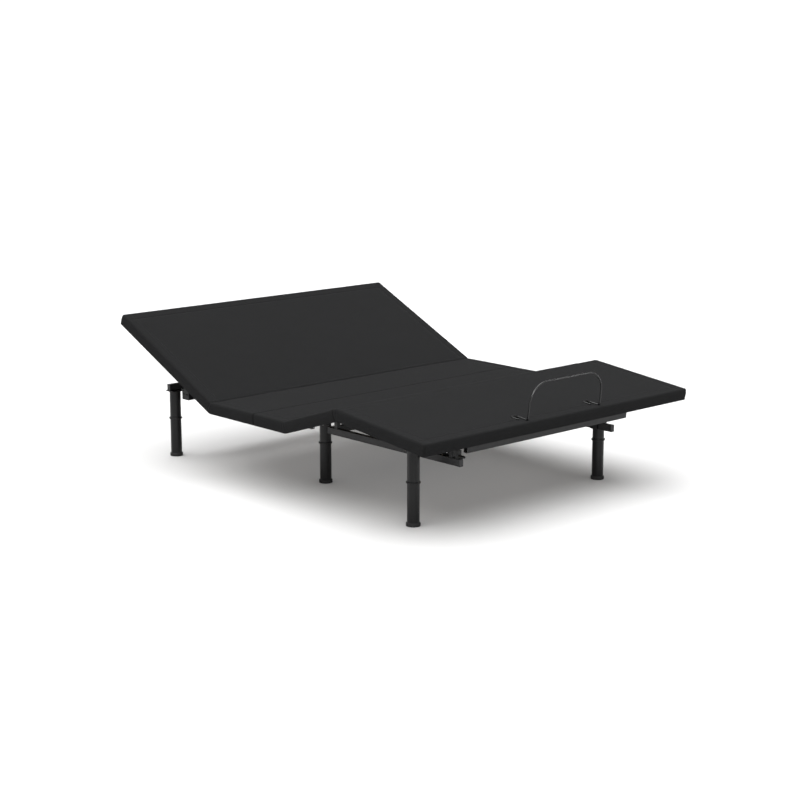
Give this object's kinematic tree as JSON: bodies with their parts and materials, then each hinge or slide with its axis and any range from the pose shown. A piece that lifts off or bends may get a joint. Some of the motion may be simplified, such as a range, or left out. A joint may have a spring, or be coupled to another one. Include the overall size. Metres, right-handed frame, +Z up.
{
  "type": "adjustable bed base",
  "caption": "Queen adjustable bed base: padded folding deck on a steel frame, raised back, thigh and foot panels, mattress retainer bar and round screwed legs.",
  "frame": {"origin": "on the floor, under the middle of the base as modelled, with the back and legs partly raised", "axes": "+Z up, +Y toward the head end, +X to the right seen from the foot end"},
  "size_m": [1.524, 1.9696, 0.6636],
  "materials": {
    "deck_fabric": "smooth charcoal woven upholstery",
    "plywood": "raw plywood",
    "strip_wood": "raw softwood",
    "zinc_steel": "zinc plated",
    "black_plastic": "moulded, fine texture",
    "rubber": "matt",
    "drive_housing": "moulded housing",
    "bar_paint": "black powder coat, fine",
    "leg_paint": "satin black powder coat",
    "rail_paint": "grey-black powder coat",
    "frame_paint": "black powder coat"
  },
  "bodies": {
    "base_frame": {"actuator_clamps": "frame_paint", "control_box": "black_plastic", "deck_hinge_pins": "zinc_steel", "drive_crossbars": "frame_paint", "foot_leg_crossbar": "frame_paint", "foot_side_rails": "rail_paint", "foot_stop_bracket": "frame_paint", "frame_posts": "rail_paint", "head_actuator": "drive_housing", "head_leg_crossbar": "frame_paint", "head_side_rails": "rail_paint", "headboard_beam": "frame_paint", "headboard_plates": "frame_paint", "hip_hinge_fixed": "zinc_steel", "leg_actuator": "drive_housing", "leg_glides": "rubber", "leg_joint_rings": "leg_paint", "leg_lower_tubes": "leg_paint", "leg_plates": "leg_paint", "leg_upper_tubes": "leg_paint", "link_brackets": "frame_paint", "link_lower_pins": "zinc_steel", "mid_leg_crossbar": "frame_paint", "panel_bumpers": "rubber", "seat_boards": "plywood", "seat_crossbars": "frame_paint", "seat_edge_strips": "strip_wood", "seat_foot_pad": "deck_fabric", "seat_head_pad": "deck_fabric", "seat_spacers": "black_plastic", "splice_bolts": "zinc_steel", "splice_stubs": "frame_paint", "tube_end_caps": "black_plastic", "valley_hinge_fixed": "zinc_steel"},
    "back_section": {"back_board": "plywood", "back_edge_strips": "strip_wood", "back_lever": "frame_paint", "back_pad": "deck_fabric", "back_subframe": "frame_paint", "hip_hinge_moving": "zinc_steel"},
    "thigh_section": {"thigh_board": "plywood", "thigh_edge_strips": "strip_wood", "thigh_lever": "frame_paint", "thigh_pad": "deck_fabric", "thigh_subframe": "frame_paint", "valley_hinge_moving": "zinc_steel", "knee_hinge_fixed": "zinc_steel", "knee_hinge_pins": "zinc_steel"},
    "foot_section": {"foot_board": "plywood", "foot_edge_strips": "strip_wood", "foot_pad": "deck_fabric", "foot_hangers": "frame_paint", "foot_cross_rail": "rail_paint", "link_upper_pins": "zinc_steel", "knee_hinge_moving": "zinc_steel", "retainer_bar": "bar_paint", "retainer_screws": "frame_paint"},
    "foot_link_pair": {"foot_links": "frame_paint"},
    "head_rod": {"head_push_rod": "zinc_steel"},
    "leg_rod": {"leg_push_rod": "zinc_steel"}
  },
  "joints": [
    {"name": "back_hinge", "type": "hinge", "parent": "base_frame", "child": "back_section", "pos_m": [0, 0.334, 0.341], "axis": [1, 0, 0], "range_deg": [-25.2, 34.8]},
    {"name": "thigh_hinge", "type": "hinge", "parent": "base_frame", "child": "thigh_section", "pos_m": [0, -0.161, 0.341], "axis": [-1, 0, 0], "range_deg": [-17.8, 17.2]},
    {"name": "knee_hinge", "type": "hinge", "parent": "thigh_section", "child": "foot_section", "pos_m": [0, -0.47901, 0.4431], "axis": [1, 0, 0], "range_deg": [-24.1, 23.3]},
    {"name": "foot_link_hinge", "type": "hinge", "parent": "base_frame", "child": "foot_link_pair", "pos_m": [0, -0.7584, 0.2913], "axis": [-1, 0, 0], "range_deg": [-28.6, 27.7]},
    {"name": "head_rod_slide", "type": "slide", "parent": "base_frame", "child": "head_rod", "axis": [0, 1, 0], "range_m": [-0.06, 0.0827]},
    {"name": "leg_rod_slide", "type": "slide", "parent": "base_frame", "child": "leg_rod", "axis": [0, -1, 0], "range_m": [-0.0404, 0.039]}
  ],
  "couplings": [
    {"joint": "knee_hinge", "follows": "thigh_hinge", "ratio": 1.3511},
    {"joint": "foot_link_hinge", "follows": "thigh_hinge", "ratio": 1.6},
    {"joint": "head_rod_slide", "follows": "back_hinge", "m_per_rad": 0.1357},
    {"joint": "leg_rod_slide", "follows": "thigh_hinge", "m_per_rad": 0.12915}
  ]
}
